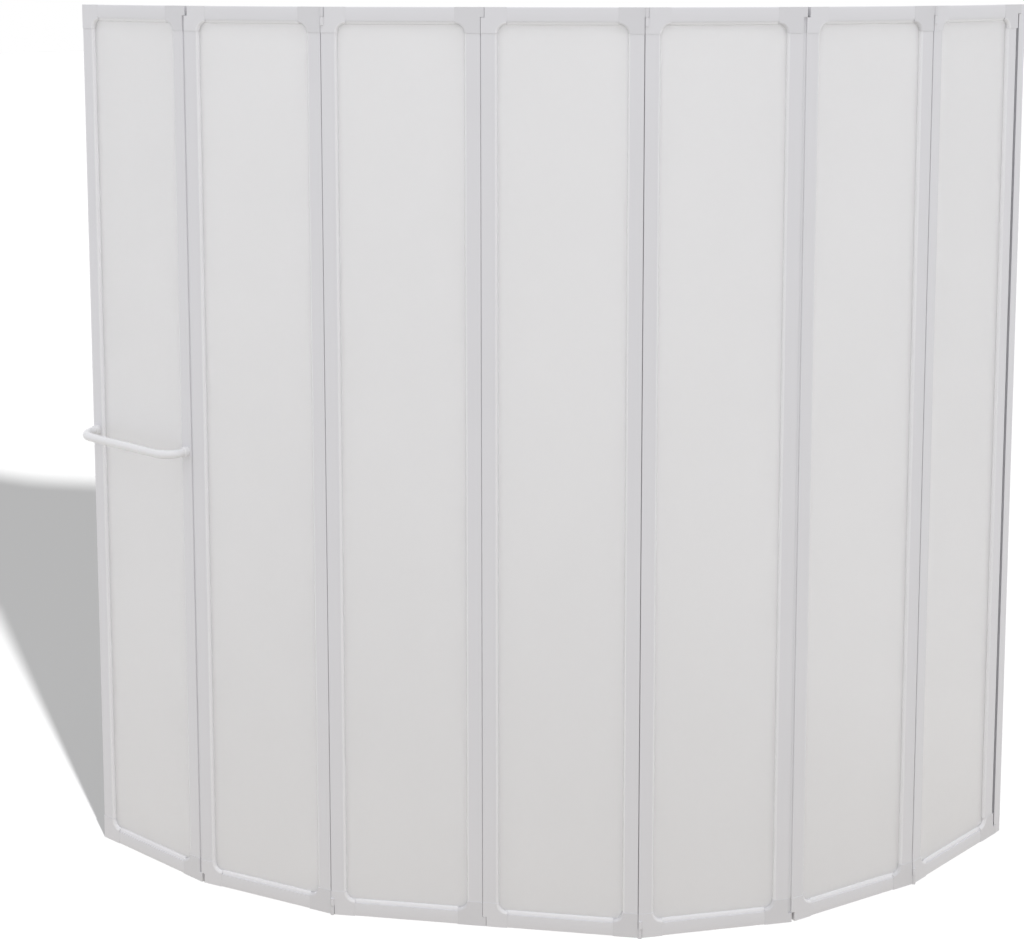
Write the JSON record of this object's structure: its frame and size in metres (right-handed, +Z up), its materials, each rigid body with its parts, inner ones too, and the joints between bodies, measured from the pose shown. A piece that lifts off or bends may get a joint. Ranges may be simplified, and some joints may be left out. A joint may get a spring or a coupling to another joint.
{
  "type": "folding shower screen",
  "caption": "Folding bath and shower screen of framed frosted panels hinged side by side, with a wall profile and a towel bar.",
  "frame": {"origin": "foot of the wall profile, in the middle of its thickness, on the wall's plane", "axes": "+Z up along the hinges, +X into the wall, front of the screen towards -Y"},
  "size_m": [1.1688, 1.0161, 1.4],
  "materials": {
    "profile_white": "satin",
    "cap_white": "satin",
    "pane_frosted": "frosted",
    "bead_white": "satin",
    "steel": "plain",
    "channel_aluminium": "anodised",
    "bar_white": "gloss"
  },
  "bodies": {
    "wall_profile": {"wall_channel": "channel_aluminium", "wall_post": "profile_white", "wall_post_caps": "cap_white", "wall_post_screws": "steel", "hinge_7_pins": "steel"},
    "panel_7": {"panel_7_left_stile": "profile_white", "panel_7_right_stile": "profile_white", "panel_7_rails": "profile_white", "panel_7_corners": "cap_white", "panel_7_pane": "pane_frosted", "panel_7_bead": "bead_white", "hinge_6_pins": "steel"},
    "panel_6": {"panel_6_left_stile": "profile_white", "panel_6_right_stile": "profile_white", "panel_6_rails": "profile_white", "panel_6_corners": "cap_white", "panel_6_pane": "pane_frosted", "panel_6_bead": "bead_white", "hinge_5_pins": "steel"},
    "panel_5": {"panel_5_left_stile": "profile_white", "panel_5_right_stile": "profile_white", "panel_5_rails": "profile_white", "panel_5_corners": "cap_white", "panel_5_pane": "pane_frosted", "panel_5_bead": "bead_white", "hinge_4_pins": "steel"},
    "panel_4": {"panel_4_left_stile": "profile_white", "panel_4_right_stile": "profile_white", "panel_4_rails": "profile_white", "panel_4_corners": "cap_white", "panel_4_pane": "pane_frosted", "panel_4_bead": "bead_white", "hinge_3_pins": "steel"},
    "panel_3": {"panel_3_left_stile": "profile_white", "panel_3_right_stile": "profile_white", "panel_3_rails": "profile_white", "panel_3_corners": "cap_white", "panel_3_pane": "pane_frosted", "panel_3_bead": "bead_white", "hinge_2_pins": "steel"},
    "panel_2": {"panel_2_left_stile": "profile_white", "panel_2_right_stile": "profile_white", "panel_2_rails": "profile_white", "panel_2_corners": "cap_white", "panel_2_pane": "pane_frosted", "panel_2_bead": "bead_white", "hinge_1_pins": "steel"},
    "panel_1": {"panel_1_left_stile": "profile_white", "panel_1_right_stile": "profile_white", "panel_1_rails": "profile_white", "panel_1_corners": "cap_white", "panel_1_pane": "pane_frosted", "panel_1_bead": "bead_white", "towel_bar": "bar_white", "towel_bar_sockets": "cap_white", "towel_bar_screws": "steel"}
  },
  "joints": [
    {"name": "hinge_7", "type": "hinge", "parent": "wall_profile", "child": "panel_7", "pos_m": [-0.01485, 0.008, 0.7], "axis": [0, 0, -1], "range_deg": [0, 90]},
    {"name": "hinge_6", "type": "hinge", "parent": "panel_7", "child": "panel_6", "pos_m": [-0.25273, -0.008, 0.7], "axis": [0, 0, 1], "range_deg": [-7, 191]},
    {"name": "hinge_5", "type": "hinge", "parent": "panel_6", "child": "panel_5", "pos_m": [-0.47836, 0.06902, 0.7], "axis": [0, 0, -1], "range_deg": [-16.9, 141.1]},
    {"name": "hinge_4", "type": "hinge", "parent": "panel_5", "child": "panel_4", "pos_m": [-0.68877, 0.18114, 0.7], "axis": [0, 0, 1], "range_deg": [-3.5, 192.5]},
    {"name": "hinge_3", "type": "hinge", "parent": "panel_4", "child": "panel_3", "pos_m": [-0.82807, 0.37463, 0.7], "axis": [0, 0, -1], "range_deg": [-0.2, 142.8]},
    {"name": "hinge_2", "type": "hinge", "parent": "panel_3", "child": "panel_2", "pos_m": [-0.99142, 0.54829, 0.7], "axis": [0, 0, 1], "range_deg": [-6.8, 180.2]},
    {"name": "hinge_1", "type": "hinge", "parent": "panel_2", "child": "panel_1", "pos_m": [-1.07434, 0.77182, 0.7], "axis": [0, 0, -1], "range_deg": [-13.7, 162.3]}
  ]
}
